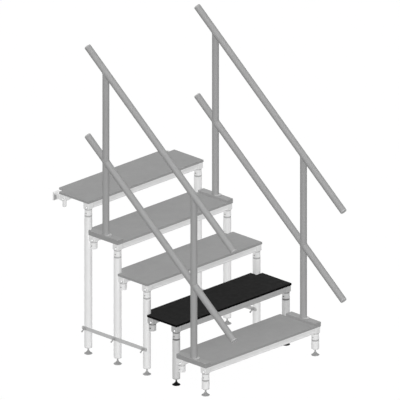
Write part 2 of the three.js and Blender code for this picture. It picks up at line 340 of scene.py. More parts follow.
def sweep(path, radii, sides):
    """A tube along a path with a radius at each of its points."""
    path = [Vector(p) for p in path]
    rings = []
    normal = None
    for i, here in enumerate(path):
        along = (path[min(i + 1, len(path) - 1)] - path[max(i - 1, 0)]).normalized()
        if normal is None:
            normal = along.orthogonal().normalized()
        normal = (normal - along * normal.dot(along)).normalized()
        across = along.cross(normal)
        rings.append([
            here + (normal * math.cos(a) + across * math.sin(a)) * radii[i]
            for a in (2 * math.pi * k / sides for k in range(sides))
        ])
    return loft(rings)


# A ripple's length, the points along it and round the bead, and the fewest along a bead.
BEAD_PITCH = 4.2
BEAD_POINTS = 3
BEAD_ROUND = 8
BEAD_FEWEST = 4
# The share of the radius in a ripple's valley and at an end, and how steeply an end thickens.
BEAD_VALLEY = 0.8
BEAD_END = 0.45
BEAD_RISE = 4


def bead(path, radius):
    """A weld bead along a path, with the ripples that a welder leaves and thinner ends."""
    path = [Vector(p) for p in path]
    lengths = [0]
    for a, b in zip(path, path[1:]):
        lengths.append(lengths[-1] + (b - a).length)
    count = max(BEAD_FEWEST, round(lengths[-1] / BEAD_PITCH * BEAD_POINTS))
    points, radii = [], []
    index = 0
    for i in range(count + 1):
        s = lengths[-1] * i / count
        while index < len(path) - 2 and lengths[index + 1] < s:
            index += 1
        share = (s - lengths[index]) / (lengths[index + 1] - lengths[index])
        points.append(path[index].lerp(path[index + 1], min(1, share)))
        ripple = BEAD_VALLEY + (1 - BEAD_VALLEY) * abs(math.sin(math.pi * s / BEAD_PITCH))
        fade = min(1, BEAD_END + BEAD_RISE * min(i, count - i) / count)
        radii.append(radius * ripple * fade)
    return sweep(points, radii, BEAD_ROUND)


# Pitch and depth.
COARSE_THREAD = (1.75, 0.6)
STUD_THREAD = (1.5, 0.5)
THREAD_ROUND = 20
LEVELS_PER_TURN = 4


def threaded(radius, low, high, pitch, depth):
    """A bar with a helical thread."""
    count = round((high - low) / pitch * LEVELS_PER_TURN)

    def groove(angle, height):
        turn = height / pitch - angle / (2 * math.pi)
        return 1 - depth / radius * (0.5 - 0.5 * math.cos(2 * math.pi * turn))

    levels = [low + (high - low) * i / count for i in range(count + 1)]
    return lathe([(radius, level) for level in levels], THREAD_ROUND, grip=groove)


# A screw's dome, as shares of its radius and height.
DOME = [(1, 0.25), (0.93, 0.55), (0.78, 0.83), (0.62, 1)]
KEY_FLOOR = 0.35
SUNK = 0.5


def button_screw(radius, height, key):
    """A domed screw head on Z = 0 with a hexagon socket, whose flats are key from the middle."""
    rings = [circle_ring(radius, -SUNK)]
    rings += [circle_ring(a * radius, b * height) for a, b in DOME]
    rings += [hex_ring(key, height), hex_ring(key, KEY_FLOOR * height)]
    return loft(rings)


def washer(radius, height):
    """A round washer on Z = 0, under a screw's head."""
    profile = [(radius, -SUNK)] + near(radius, height, (0, -0.3), (-0.4, 0))
    return loft([circle_ring(r, z) for r, z in profile])


# -------------------------------- objects


def solid_mesh(name, points, faces):
    """A mesh whose faces look outwards."""
    mesh = bpy.data.meshes.new(name)
    mesh.from_pydata(points, [], faces)
    work = bmesh.new()
    work.from_mesh(mesh)
    bmesh.ops.recalc_face_normals(work, faces=work.faces)
    work.to_mesh(mesh)
    work.free()
    return mesh


def add_object(name, data):
    made = bpy.data.objects.new(name, data)
    bpy.context.scene.collection.objects.link(made)
    return made


def carved(shape, tool):
    """The shape cut by a tool."""
    solid, cutter = [add_object("carving", solid_mesh("carving", *s)) for s in (shape, tool)]
    modifier = solid.modifiers.new("cut", "BOOLEAN")
    modifier.operation = "DIFFERENCE"
    modifier.solver = "EXACT"
    modifier.object = cutter
    graph = bpy.context.evaluated_depsgraph_get()
    result = bpy.data.meshes.new_from_object(solid.evaluated_get(graph))
    points = [tuple(v.co) for v in result.vertices]
    faces = [tuple(p.vertices) for p in result.polygons]
    bpy.data.meshes.remove(result)
    for thing in (solid, cutter):
        mesh = thing.data
        bpy.data.objects.remove(thing)
        bpy.data.meshes.remove(mesh)
    return points, faces


def repainted(old, new, low, high):
    """A paint that gives faces of one material another one between two heights."""
    low, high = ORIGIN.z + low * MM, ORIGIN.z + high * MM

    def paint(polygon):
        between = polygon.material_index == old and low < polygon.center.z < high
        return new if between else polygon.material_index

    return paint


def piece(name, shapes, materials, body, replaces=(), paint=None):
    """One object in the frame from shapes, each with the number of its material. paint(polygon)
    gives a face its number instead."""
    points, faces, marks = [], [], []
    for shape, mark in shapes:
        start = len(points)
        points += [tuple(ORIGIN + Vector(p) * MM) for p in shape[0]]
        faces += [tuple(start + i for i in face) for face in shape[1]]
        marks += [mark] * len(shape[1])
    mesh = solid_mesh(name, points, faces)
    mesh.polygons.foreach_set("material_index", marks)
    for material in materials:
        mesh.materials.append(material)
    if paint:
        for polygon in mesh.polygons:
            polygon.material_index = paint(polygon)
    mesh.shade_smooth()
    mesh.set_sharp_from_angle(angle=SHARP_ANGLE)
    made = add_object(name, mesh)
    made.modifiers.new("flat_faces", "WEIGHTED_NORMAL").keep_sharp = True
    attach(made, body)
    if replaces:
        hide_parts(*replaces)


# -------------------------------- materials
# The scale of a noise is in clouds or specks to a metre. Pitches and depths are in millimetres.

# The scale of a noise along each axis, so that it draws out along one.
ALONG_X = (0.02, 1, 1)
ALONG_Y = (1, 0.02, 1)
ALONG_Z = (1, 1, 0.02)
EVEN = (1, 1, 1)

# Most values of a noise lie between these.
NOISE_LOW, NOISE_HIGH = 0.3, 0.7


def linear(tone):
    """The linear value of a grey from 0 to 255 as a screen shows it, by the sRGB curve."""
    share = tone / 255
    return share / 12.92 if share <= 0.04045 else ((share + 0.055) / 1.055) ** 2.4


def add_node(tree, kind, values=None, links=None):
    """A new node, with values and links for its inputs by name or number."""
    node = tree.nodes.new(kind)
    for key, value in (values or {}).items():
        node.inputs[key].default_value = value
    for key, source in (links or {}).items():
        tree.links.new(source, node.inputs[key])
    return node


class Finish:
    """A material and the nodes that give its colour, roughness and relief."""

    def __init__(self, name, specular, metallic=0.0):
        self.material = bpy.data.materials.new(name)
        self.material.use_nodes = True
        self.tree = self.material.node_tree
        self.tree.nodes.clear()
        self.shader = self.add(
            "ShaderNodeBsdfPrincipled", {"Metallic": metallic, "Specular IOR Level": specular},
        )
        self.add("ShaderNodeOutputMaterial", links={"Surface": self.shader.outputs["BSDF"]})
        self.place = self.add("ShaderNodeTexCoord").outputs["Object"]
        self.bumps = None

    def add(self, kind, values=None, links=None):
        return add_node(self.tree, kind, values, links)

    def noise(self, scale, detail, stretch=EVEN):
        mapping = self.add("ShaderNodeMapping", {"Scale": stretch}, {"Vector": self.place})
        node = self.add(
            "ShaderNodeTexNoise", {"Scale": scale, "Detail": detail},
            {"Vector": mapping.outputs["Vector"]},
        )
        return node.outputs["Fac"]

    def cells(self, pitch, wander=0.2):
        """The distance from the edges of small cells, as a pressed mesh leaves them in a film."""
        node = self.add(
            "ShaderNodeTexVoronoi", {"Scale": 1 / (pitch * MM), "Randomness": wander},
            {"Vector": self.place},
        )
        node.feature = "DISTANCE_TO_EDGE"
        return node.outputs["Distance"]

    def layers(self, pitch, waviness=1.5):
        """Layers on top of each other. The node's waves are pi / 10 apart at a scale of 1."""
        node = self.add(
            "ShaderNodeTexWave",
            {"Scale": math.pi / 10 / (pitch * MM), "Distortion": waviness, "Detail": 2},
            {"Vector": self.place},
        )
        node.bands_direction = "Z"
        return node.outputs["Fac"]

    def mix(self, a, b, share):
        """A blend of two patterns, with this share of the second."""
        node = self.add("ShaderNodeMix", {"Factor": share}, {"A": a, "B": b})
        return node.outputs["Result"]

    def ranged(self, pattern, low, high, out_low, out_high):
        """The pattern's values from low to high spread from out_low to out_high."""
        node = self.add(
            "ShaderNodeMapRange",
            {"From Min": low, "From Max": high, "To Min": out_low, "To Max": out_high},
            {"Value": pattern},
        )
        return node.outputs["Result"]

    def colour(self, pattern, tone, spread):
        """A grey that varies with a pattern, by a share of itself each way."""
        ramp = self.add("ShaderNodeValToRGB", links={"Fac": pattern})
        stops = ((NOISE_LOW, 1 - spread), (NOISE_HIGH, 1 + spread))
        for element, (position, share) in zip(ramp.color_ramp.elements, stops):
            value = linear(tone) * share
            element.position = position
            element.color = (value, value, value, 1)
        self.tree.links.new(ramp.outputs["Color"], self.shader.inputs["Base Color"])

    def roughness(self, pattern, low, high):
        values = self.ranged(pattern, NOISE_LOW, NOISE_HIGH, low, high)
        self.tree.links.new(values, self.shader.inputs["Roughness"])

    def relief(self, pattern, depth, strength):
        """A bump of this depth, on top of the ones before it."""
        links = {"Height": pattern}
        if self.bumps:
            links["Normal"] = self.bumps
        node = self.add("ShaderNodeBump", {"Strength": strength, "Distance": depth * MM}, links)
        self.bumps = node.outputs["Normal"]
        self.tree.links.new(self.bumps, self.shader.inputs["Normal"])


def board_film(name, tone, specular):
    """A board's coated face, with the fine mesh pressed into it."""
    finish = Finish(name, specular)
    cloud, speck = finish.noise(scale=9, detail=4), finish.noise(scale=420, detail=2)
    finish.colour(finish.mix(cloud, speck, 0.4), tone, spread=0.045)
    finish.roughness(finish.noise(scale=30, detail=4), 0.62, 0.78)
    cells = finish.ranged(finish.cells(pitch=4.2), 0, 0.16, 0, 1)
    finish.relief(cells, depth=0.12, strength=0.5)
    finish.relief(speck, depth=0.05, strength=0.4)
    return finish.material


def board_edge(name, tone, specular):
    """A board's sealed edge, with its veneers."""
    finish = Finish(name, specular)
    layers = finish.layers(pitch=1.4)
    finish.colour(finish.mix(layers, finish.noise(scale=160, detail=3), 0.5), tone, spread=0.07)
    finish.roughness(finish.noise(scale=60, detail=3), 0.65, 0.85)
    finish.relief(layers, depth=0.08, strength=0.5)
    return finish.material


def metal(
    name, tone, specular=0.5, metallic=0.18, rough=(0.34, 0.5), spread=0.035, grain=260,
    stretch=EVEN,
):
    """Aluminium or steel with fine lines along one direction, or even grain."""
    finish = Finish(name, specular, metallic)
    lines = finish.noise(grain, detail=3, stretch=stretch)
    cloud = finish.noise(scale=14, detail=3)
    finish.colour(finish.mix(lines, cloud, 0.45), tone, spread)
    finish.roughness(finish.mix(lines, cloud, 0.3), *rough)
    finish.relief(lines, depth=0.04, strength=0.45)
    return finish.material


def coated(name, tone, spread=0.03):
    """Powder coat, with its fine orange peel."""
    finish = Finish(name, specular=0.05)
    peel, cloud = finish.noise(scale=480, detail=2), finish.noise(scale=11, detail=4)
    finish.colour(finish.mix(peel, cloud, 0.6), tone, spread)
    finish.roughness(cloud, 0.4, 0.52)
    finish.relief(peel, depth=0.025, strength=0.3)
    return finish.material


def moulded(name, tone, specular=0.5):
    """Moulded plastic or rubber with a fine spark-eroded grain."""
    finish = Finish(name, specular)
    grain, cloud = finish.noise(scale=900, detail=2), finish.noise(scale=40, detail=3)
    finish.colour(finish.mix(grain, cloud, 0.5), tone, spread=0.06)
    finish.roughness(cloud, 0.45, 0.6)
    finish.relief(grain, depth=0.05, strength=0.6)
    return finish.material


CAST = {"specular": 0.15, "metallic": 0.02, "rough": (0.6, 0.75), "grain": 600}
TURNED = {"rough": (0.3, 0.4), "spread": 0.02, "grain": 900}
WELDED = {"rough": (0.3, 0.45), "grain": 800}
ZINC = {"metallic": 0.3, "rough": (0.3, 0.4), "spread": 0.01, "grain": 900}
BLACKENED = {"rough": (0.4, 0.5), "grain": 900}
SPINDLE_STEEL = {"rough": (0.35, 0.5), "grain": 700}

# A part's recipe and its settings, and then the name and tone, and for some the specular level,
# on a pale tread and on the dark one.
LOOKS = {
    # On the dark tread the film's top is a much lighter black than its edge, partly its own colour
    # and partly a painted sheen.
    "film": (board_film, {}, ("grey_film", 146, 0.2), ("black_film", 31, 0.03)),
    "edge": (board_edge, {}, ("grey_board_edge", 150, 0.25), ("black_board_edge", 10, 0.02)),
    "rail": (metal, {"stretch": ALONG_X}, ("pale_profile", 220), ("profile", 167)),
    "cross": (metal, {"stretch": ALONG_Y}, ("pale_cross_profile", 217), ("cross_profile", 165)),
    "casting": (metal, CAST, ("pale_casting", 225), ("casting", 176)),
    # The socket below the waist has its own tone. On the dark step it is lighter than the casting:
    # partly the turned finish, partly a painted highlight of the round socket.
    "socket": (metal, TURNED, ("pale_turned_socket", 222), ("turned_socket", 188)),
    "weld": (metal, WELDED, ("pale_weld", 200), ("weld", 150)),
    "tube": (metal, {"stretch": ALONG_Z}, ("pale_leg_tube", 225), ("leg_tube", 196)),
    "cap": (moulded, {}, ("pale_leg_cap", 210), ("leg_cap", 165)),
    "bolt": (metal, ZINC, ("pale_zinc_bolt", 250), ("zinc_bolt", 250)),
    "screw": (metal, BLACKENED, ("pale_dark_screw", 150), ("dark_screw", 70)),
    "plastic": (moulded, {}, ("grey_plastic", 153), ("black_plastic", 10, 0.1)),
    "cone": (moulded, {}, ("grey_foot_cone", 137), ("black_foot_cone", 8, 0.1)),
    "spindle": (metal, SPINDLE_STEEL, ("pale_spindle", 165), ("dark_spindle", 60)),
    # The collar, narrower than the tube, is a darker grey, which partly paints the shade of the
    # gap between socket and tube.
    "collar": (moulded, {}, ("grey_collar", 170), ("black_collar", 108, 0.3)),
    # The waist's ring is a dark grey that paints the shade under the block.
    "waist_shade_ring": (moulded, {}, ("grey_gasket", 160), ("black_gasket", 62, 0.2)),
}
shades = [
    {part: recipe(*tones[shade], **settings) for part, (recipe, settings, *tones) in LOOKS.items()}
    for shade in range(2)
]
rail_coat = coated("handrail_coat", 154)
rail_weld = coated("handrail_weld", 145, 0.06)
rail_cap_look = moulded("handrail_cap", 172)
flange_look = metal("flange_steel", 182, rough=(0.4, 0.5))
tie_look = metal("tie_bar_zinc", 186, metallic=0.3, stretch=ALONG_Y)
lever_look = metal("lever_steel", 154, metallic=0.3)
base_look = coated("post_base_coat", 151)
claw_look = metal("claw_casting", 223, **CAST)
# A dark grey on the claw head's outer face, painted shade.
claw_shade_patch_look = moulded("claw_shade_patch", 160)
knob_look = moulded("pale_knob", 220)


def shade_of(step):
    return 1 if step == DARK_STEP else 0


def looks(step, *parts):
    return [shades[shade_of(step)][part] for part in parts]


# -------------------------------- treads

# A casting's block from the top down: how far a level lies inside the block's sides, the radius
# of its corners, its drop, and its share of a rear block's shift from the socket's axis.
BLOCK_LEVELS = [
    (1, 3.5, FRAME_DROP, 1),
    (0, 4, FRAME_DROP + 1, 1),
    (0, 4, HEAD_BOTTOM_DROP - 2, 1),
    (0.6, 6, HEAD_BOTTOM_DROP, 1),
    (1.4, 13, HEAD_BOTTOM_DROP + 2.2, 0.5),
]
# The turned part below it, as (radius, drop) points from the top down.
WAIST = near(SOCKET_RADIUS, HEAD_BOTTOM_DROP, (-2.1, 3.6), (-2.1, 6), (-0.5, 6.8), (0, 7.8))
FRONT_SOCKET = (
    near(SOCKET_RADIUS, SOCKET_DROP, (0, -8.8))
    + near(SOCKET_RIM, SOCKET_DROP, (-0.3, -8), (0, -7.2), (0, -0.8), (-0.8, 0))
    + near(SPIGOT_BORE, SOCKET_DROP, (0.8, 0), (0, -0.8), (0, -SOCKET_BORE_DEPTH))
)
REAR_SOCKET = near(
    SOCKET_RADIUS, SOCKET_DROP,
    (0, -0.6), (-0.9, 0), (-0.9, 0.8), (0, 1.4), (0, 4.2), (-0.6, 5.4), (-2, 6), (-6, 6), (-7, 5),
)
TURNED_DROP = HEAD_BOTTOM_DROP + 3
# A dark ring in the waist's groove, which paints the shade under the block, as (radius, height)
# points.
WAIST_SHADE_RING_RADIUS = SOCKET_RADIUS - 0.7
WAIST_SHADE_RING = (
    near(WAIST_SHADE_RING_RADIUS, -HEAD_BOTTOM_DROP - 6.7, (-3, 0), (-0.5, 0), (0, 0.5))
    + near(WAIST_SHADE_RING_RADIUS, -HEAD_BOTTOM_DROP - 2.4, (0, -0.5), (-0.5, 0), (-3, 0))
)

# The radii of a long rail's corners and of its groove's.
RAIL_CORNERS = [2.5, 2.5, 2.5, 2.5]
GROOVE_CORNERS = [0.8, 0.5, 0.5, 0.8]

# Radius, height and key of the screws, and radius and height of the washers.
CORNER_BOLT = (7.2, 2.8, 2.4)
CORNER_WASHER = (9.2, 0.8)
CORNER_BOLT_Y = (LEG_INSET - 7.5, REAR_SOCKET_Y - 8)
CORNER_BOLT_DROP = 42
SOCKET_SCREW = (4.2, 3.0, 1.8)
SOCKET_SCREW_X = 0.5 - SOCKET_RADIUS
SOCKET_SCREW_Y = -3
SOCKET_SCREW_DROP = 80.5

# Upright beads between long rail and casting, as Y and radius. The one in front is thinner.
RAIL_BEADS = [
    (RAIL_INSET - 0.2, 1.4), (FRONT_RAIL_BACK + 0.4, 2.4), (BACK_FACE + RAIL_DEPTH + 0.4, 2.4),
]
RAIL_BEAD_Z = (-FRAME_DROP - 3, -RAIL_BOTTOM_DROP + 1.5)
CASTING_BEAD = 0.4
UNDER_BEAD = 1.8
CROSS_BEAD = 2.2
CROSS_BEAD_GAP = 0.3
CROSS_BEAD_Z = (-FRAME_DROP - 2, -FRAME_DROP - CROSS_RAIL + 1.5)
BEAD_INSET = 2


# A board's faces are flatter than this, and its edges aren't.
BOARD_FLAT = 0.9


def tread_board(step):
    corners = [
        (0, 0), (WIDTH, 0), (WIDTH, GOING), (WIDTH - NOTCH, GOING),
        (WIDTH - NOTCH, PANEL_DEPTH), (NOTCH, PANEL_DEPTH), (NOTCH, GOING), (0, GOING),
    ]
    board = prism(corners, -PANEL_THICKNESS, 0, "Z", round_by=2, soft=1)
    piece(
        f"board_{step}", placed([board], (0, front_of(step), top_of(step))),
        looks(step, "film", "edge"),
        "stairs", [f"tread_panel_{step}"],
        paint=lambda polygon: 0 if abs(polygon.normal.z) > BOARD_FLAT else 1,
    )


def casting(x, y, rear):
    """A corner casting: a block, a waist, and a round socket below it."""
    half_y = (REAR_HEAD_BACK - BACK_FACE) / 2 if rear else HEAD_HALF
    shift = BACK_FACE + half_y - REAR_SOCKET_Y if rear else 0
    rings = [
        square_ring(HEAD_HALF - inside, half_y - inside, radius, -drop, share * shift)
        for inside, radius, drop, share in BLOCK_LEVELS
    ]
    turned = WAIST + (REAR_SOCKET if rear else FRONT_SOCKET)
    rings += [square_ring(radius, radius, radius, -drop) for radius, drop in turned]
    return moved(loft(rings), x, y)


def rear_block(x):
    """The top frame's back corner: a block with the claw's channel and the knob's hole."""
    beyond = 5
    solid = block(
        (x - HEAD_HALF, x + HEAD_HALF), (BACK_FACE, REAR_HEAD_BACK),
        (-HEAD_BOTTOM_DROP, -FRAME_DROP), "Z", round_by=4, soft=1,
    )
    half = CLAW_HALF + SEAT_GAP
    channel = block(
        (x - half, x + half), (REAR_HEAD_BACK - CLAW_GRIP - SEAT_GAP, REAR_HEAD_BACK + beyond),
        (SHANK_Z - half, SHANK_Z + half), "Y", round_by=1.5, soft=0,
    )
    radius = STEM_RADIUS + SEAT_GAP
    hole = lathe([(radius, -HEAD_BOTTOM_DROP - beyond), (radius, SHANK_Z)], HUB_ROUND)
    return carved(carved(solid, channel), moved(hole, x, REAR_SOCKET_Y))


def long_rail(y, groove):
    """A long rail's profile drawn out along X, with a groove in its front face."""
    low, high = -RAIL_BOTTOM_DROP, -FRAME_DROP
    corners = [(y, high), (y + RAIL_DEPTH, high), (y + RAIL_DEPTH, low), (y, low)]
    radii = RAIL_CORNERS
    if groove:
        top = high - GROOVE_DROP
        bottom = top - GROOVE_HEIGHT
        corners += [(y, bottom), (y + GROOVE_DEPTH, bottom), (y + GROOVE_DEPTH, top), (y, top)]
        radii = RAIL_CORNERS + GROOVE_CORNERS
    return prism(corners, RAIL_END, WIDTH - RAIL_END, "X", radii, soft=0)


def frame_welds():
    """Beads where the long rails meet the castings, and round the cross rails' ends."""
    welds = []
    for side in SIDES:
        x = leg_x(side) - outward(side) * (HEAD_HALF + CASTING_BEAD)
        for y, radius in RAIL_BEADS:
            welds.append(bead([(x, y, z) for z in RAIL_BEAD_Z], radius))
        for start in (RAIL_INSET, BACK_FACE):
            ends = (start + BEAD_INSET, start + RAIL_DEPTH - BEAD_INSET)
            welds.append(bead([(x, y, -RAIL_BOTTOM_DROP) for y in ends], UNDER_BEAD))
    for start in CROSS_RAIL_X:
        end = start + CROSS_RAIL
        for y in (FRONT_RAIL_BACK + CROSS_BEAD_GAP, BACK_FACE - CROSS_BEAD_GAP):
            for x in (start - CROSS_BEAD_GAP, end + CROSS_BEAD_GAP):
                welds.append(bead([(x, y, z) for z in CROSS_BEAD_Z], CROSS_BEAD))
            z = -FRAME_DROP - CROSS_RAIL - CROSS_BEAD_GAP
            ends = (start + BEAD_INSET, end - BEAD_INSET)
            welds.append(bead([(x, y, z) for x in ends], CROSS_BEAD))
    return welds


def tread_frame(step):
    top = step == TOP_STEP
    up = (0, front_of(step), top_of(step))
    rails = [long_rail(RAIL_INSET, groove=True), long_rail(BACK_FACE, groove=False)]
    crosses = [
        block(
            (x, x + CROSS_RAIL),
            (FRONT_RAIL_BACK - CROSS_RAIL_OVERLAP, BACK_FACE + CROSS_RAIL_OVERLAP),
            (-FRAME_DROP - CROSS_RAIL, -FRAME_DROP), "Y", round_by=2, soft=0,
        )
        for x in CROSS_RAIL_X
    ]
    castings = []
    for side in SIDES:
        x = leg_x(side)
        castings.append(casting(x, LEG_INSET, rear=False))
        castings.append(rear_block(x) if top else casting(x, REAR_SOCKET_Y, rear=True))
    socket_y = (LEG_INSET,) if top else (LEG_INSET, REAR_SOCKET_Y)
    sockets = [(leg_x(side), y) for side in SIDES for y in socket_y]
    waist_shade_rings = [moved(lathe(WAIST_SHADE_RING, closed=True), x, y) for x, y in sockets]
    screw = moved(
        aimed(button_screw(*SOCKET_SCREW), (0, 0, 0), (-1, 0, 0)),
        SOCKET_SCREW_X, SOCKET_SCREW_Y, -SOCKET_SCREW_DROP,
    )
    screws = [moved(screw, x, y) for x, y in sockets]
    spots = [
        ((leg_x(side) + outward(side) * HEAD_HALF, y, -CORNER_BOLT_DROP), (outward(side), 0, 0))
        for side in SIDES for y in CORNER_BOLT_Y
    ]
    bolts = [aimed(button_screw(*CORNER_BOLT), *spot) for spot in spots]
    washers = [aimed(washer(*CORNER_WASHER), *spot) for spot in spots]
    # Faces below the waist take the socket's tone, which on the dark step is partly a painted
    # highlight.
    piece(
        f"step_frame_{step}",
        placed(rails, up, 0) + placed(crosses, up, 1) + placed(castings, up, 2),
        looks(step, "rail", "cross", "casting", "socket"),
        "stairs", [f"tread_frame_{step}"],
        paint=repainted(2, 3, 0, top_of(step) - TURNED_DROP),
    )
    piece(
        f"step_welds_{step}", placed(frame_welds(), up), looks(step, "weld"),
        "stairs",
    )
    piece(
        f"step_bolts_{step}", placed(bolts, up, 0) + placed(washers + screws, up, 1),
        looks(step, "bolt", "screw"), "stairs",
    )
    # Dark rings in the waists, painted shade under the blocks.
    piece(
        f"step_waist_shade_rings_{step}", placed(waist_shade_rings, up), looks(step, "waist_shade_ring"),
        "stairs",
    )


# -------------------------------- legs and feet

# Turned profiles, as (radius, height) points over the underside of the cap and of the collar.
CAP = (
    near(SPINDLE_BORE, 0, (0, 0.6), (0.6, 0))
    + near(LEG_RADIUS, 0, (-1.2, 0), (0, 1.2))
    + near(LEG_RADIUS, LEG_CAP, (0, -0.6), (-0.7, 0), (-3, 0.4), (-4, 9.5))
    + near(SPINDLE_BORE, LEG_CAP, (0, 9.5))
)
COLLAR = (
    near(SPIGOT_BORE, 0, (0, 0))
    + near(COLLAR_RADIUS, 0, (-1, 0), (0, 1), (0, 4.6), (-0.8, 5.1), (-0.8, 5.9), (0, 6.4))
    + near(COLLAR_RADIUS, COLLAR_HEIGHT, (0, -1), (-1, 0))
    + near(SPIGOT_BORE, COLLAR_HEIGHT, (0, 0))
)
# The foot's disc and cone, over the floor.
PAD = [
    (23.6, 0), (24.8, 0.5), (25.5, 1.5), (25.5, 2.3), (24.9, 3.0), (23.2, 3.7),
    (21.4, FOOT_RIM), (19.2, 5.7), (16.8, 7.6), (14.2, 10), (11.6, 12.8), (9.6, 15.6),
    (8.2, 17.8), (7.4, 19),
]
# The nut on the spindle, as the distance of its flats from the middle and the height.
NUT = [(5.8, 17.8), (6.1, 18.4), (6.1, 20.6), (5.7, 21.2)]


def leg(step, side):
    top = top_of(step) - LEG_TOP_DROP
    seam = FLOOR_GAP + LEG_CAP
    bore = LEG_RADIUS - LEG_WALL
    tube = lathe(
        [(bore, FOOT_BORE_TOP), (bore, seam + 0.1)]
        + near(LEG_RADIUS, seam, (-0.7, 0.1), (0, 0.7))
        + near(LEG_RADIUS, top, (0, -0.8), (-0.8, 0))
    )
    cap = moved(lathe(CAP, closed=True), z=FLOOR_GAP)
    spigot = lathe(
        near(SPIGOT_RADIUS, top, (0, -2))
        + near(SPIGOT_RADIUS, top + SPIGOT_LENGTH, (0, -2), (-2, 0))
    )
    place = leg_place(step, side)
    shapes = placed([tube], place, 0) + placed([cap], place, 1) + placed([spigot], place, 0)
    if step in TIE_STEPS:
        stud = threaded(STUD_RADIUS, STUD_ROOT, STUD_REACH, *STUD_THREAD)
        shapes += placed([aimed(stud, (-LEG_RADIUS, 0, TIE_HEIGHT), (-1, 0, 0))], place, 0)
    piece(
        f"leg_tube_{step}_{side}", shapes, looks(step, "tube", "cap"),
        "stairs", [f"leg_{step}_{side}"],
    )


def leg_collar(step, side):
    seat = top_of(step) - LEG_TOP_DROP + SEAT_GAP
    # Its dark grey partly paints the shade of the gap under the socket.
    piece(
        f"collar_{step}_{side}",
        placed([lathe(COLLAR, closed=True)], (*leg_place(step, side), seat)),
        looks(step, "collar"),
        "stairs", [f"leg_collar_{step}_{side}"],
    )


def level_foot(step, side):
    """A disc with a cone of a harder, darker plastic, a nut and the spindle."""
    nut = loft([hex_ring(flat, height) for flat, height in NUT])
    spindle = threaded(SPINDLE_RADIUS, *SPINDLE_ENDS, *COARSE_THREAD)
    place = leg_place(step, side)
    piece(
        f"level_foot_{step}_{side}",
        placed([lathe(PAD)], place, 0) + placed([nut, spindle], place, 1),
        looks(step, "plastic", "spindle", "cone"),
        f"foot_{step}_{side}_body", [f"foot_{step}_{side}"],
        paint=repainted(0, 2, FOOT_RIM, FLOOR_GAP),
    )


# -------------------------------- tie bars and levers

# A bar's ends are all but half round, by this share of half its height.
TIE_BAR_END = 0.98

# The lever's hub, as (radius, height) points away from the leg's axis.
HUB_BORE = STUD_RADIUS + 0.6
HUB = (
    [(HUB_BORE, LEG_RADIUS + STUD_REACH + SEAT_GAP), (HUB_BORE, HUB_NEAR)]
    + near(HUB_RADIUS, HUB_NEAR, (-0.6, 0), (0, 0.6), (0, 2), (-0.7, 2.5), (-0.7, 3.1), (0, 3.6))
    + near(HUB_RADIUS, HUB_FAR, (0, -2), (-0.7, -0.7), (-2.2, 0))
)
# The lever's arm: how deep it starts in the hub, how far it reaches down and backwards together
# and which share of that is backwards, how far it leans out and bows, and its radii.
ARM_ROOT = 4
ARM_REACH = 26
ARM_BACK = 0.45
ARM_SPREAD = 9
ARM_BOW = 1.2
ARM_SHARES = (0, 0.2, 0.4, 0.6, 0.78, 0.88, 0.95, 0.985, 1)
ARM_RADII = (4.2, 4, 3.9, 4.1, 4.7, 5.1, 4.6, 3.3, 1.6)
ARM_ROUND = 20


def tie_bar(side):
    first, last = (front_of(step) + LEG_INSET for step in (TIE_STEPS[0], TIE_STEPS[-1]))
    low, high = first - TIE_BAR_OVERHANG, last + TIE_BAR_OVERHANG
    half = TIE_BAR_HEIGHT / 2
    corners = [(low, -half), (high, -half), (high, half), (low, half)]
    outline = fillet(corners, TIE_BAR_END * half, steps=8)
    thick = TIE_BAR_THICKNESS / 2
    bar = prism(outline, -thick, thick, "X", round_by=0, soft=0.8)
    piece(
        f"flat_bar_{side}", placed([bar], (leg_x(side) - TIE_OFFSET, 0, TIE_HEIGHT)), [tie_look],
        "stairs", [f"tie_bar_{side}"],
    )


def clamp_lever(step, side):
    """A hub on the stud, and an arm that leans down, back and outwards."""
    hub = aimed(lathe(HUB, HUB_ROUND), (0, 0, 0), (-1, 0, 0))
    root = Vector((ARM_ROOT - HUB_FAR, 0, 0))
    down = -math.sqrt(1 - ARM_BACK ** 2)
    reach = Vector((-ARM_SPREAD, ARM_REACH * ARM_BACK, ARM_REACH * down))
    path = [
        root + reach * share + Vector((ARM_BOW * math.sin(math.pi * share), 0, 0))
        for share in ARM_SHARES
    ]
    arm = sweep(path, ARM_RADII, ARM_ROUND)
    piece(
        f"lever_{step}_{side}", placed([hub, arm], (*leg_place(step, side), TIE_HEIGHT)),
        [lever_look],
        f"tie_lever_{step}_{side}_body", [f"tie_lever_{step}_{side}"],
    )


# -------------------------------- handrails

# Turned profiles, as (radius, height) points over the foot of each.
END_CAP = (
    near(TUBE_RADIUS, 0, (-3, 0), (-1.2, 0.4), (-0.2, 1.6), (0, 2.8))
    + near(TUBE_RADIUS, RAIL_CAP, (0, -0.6), (-0.6, 0), (-3, 3))
)
DISC = near(FLANGE_RADIUS, FLANGE_HEIGHT, (-1, -4), (-0.2, -1.4), (-0.6, -0.5), (-1.6, 0))
PLATE_POINTS = 16
# Where a post starts over the foot of its flange, and ends over the upper rail's axis.
POST_START, POST_END = 1, -2
SADDLE_POINTS = 48
# The drop of a sloping rail, and whether the post's weld is on its upper side.
POST_SADDLES = [(RAIL_DROPS[0], False), (RAIL_DROPS[1], False), (RAIL_DROPS[1], True)]
SADDLE_BEAD = 2.4
FLANGE_BEAD = 1.9
FLANGE_BEAD_GAP = 0.4
FLANGE_BEAD_POINTS = 36


def rail_z(y, drop):
    return RISER + HANDRAIL_HEIGHT + (y - POST_SETBACK) * SLOPE - drop


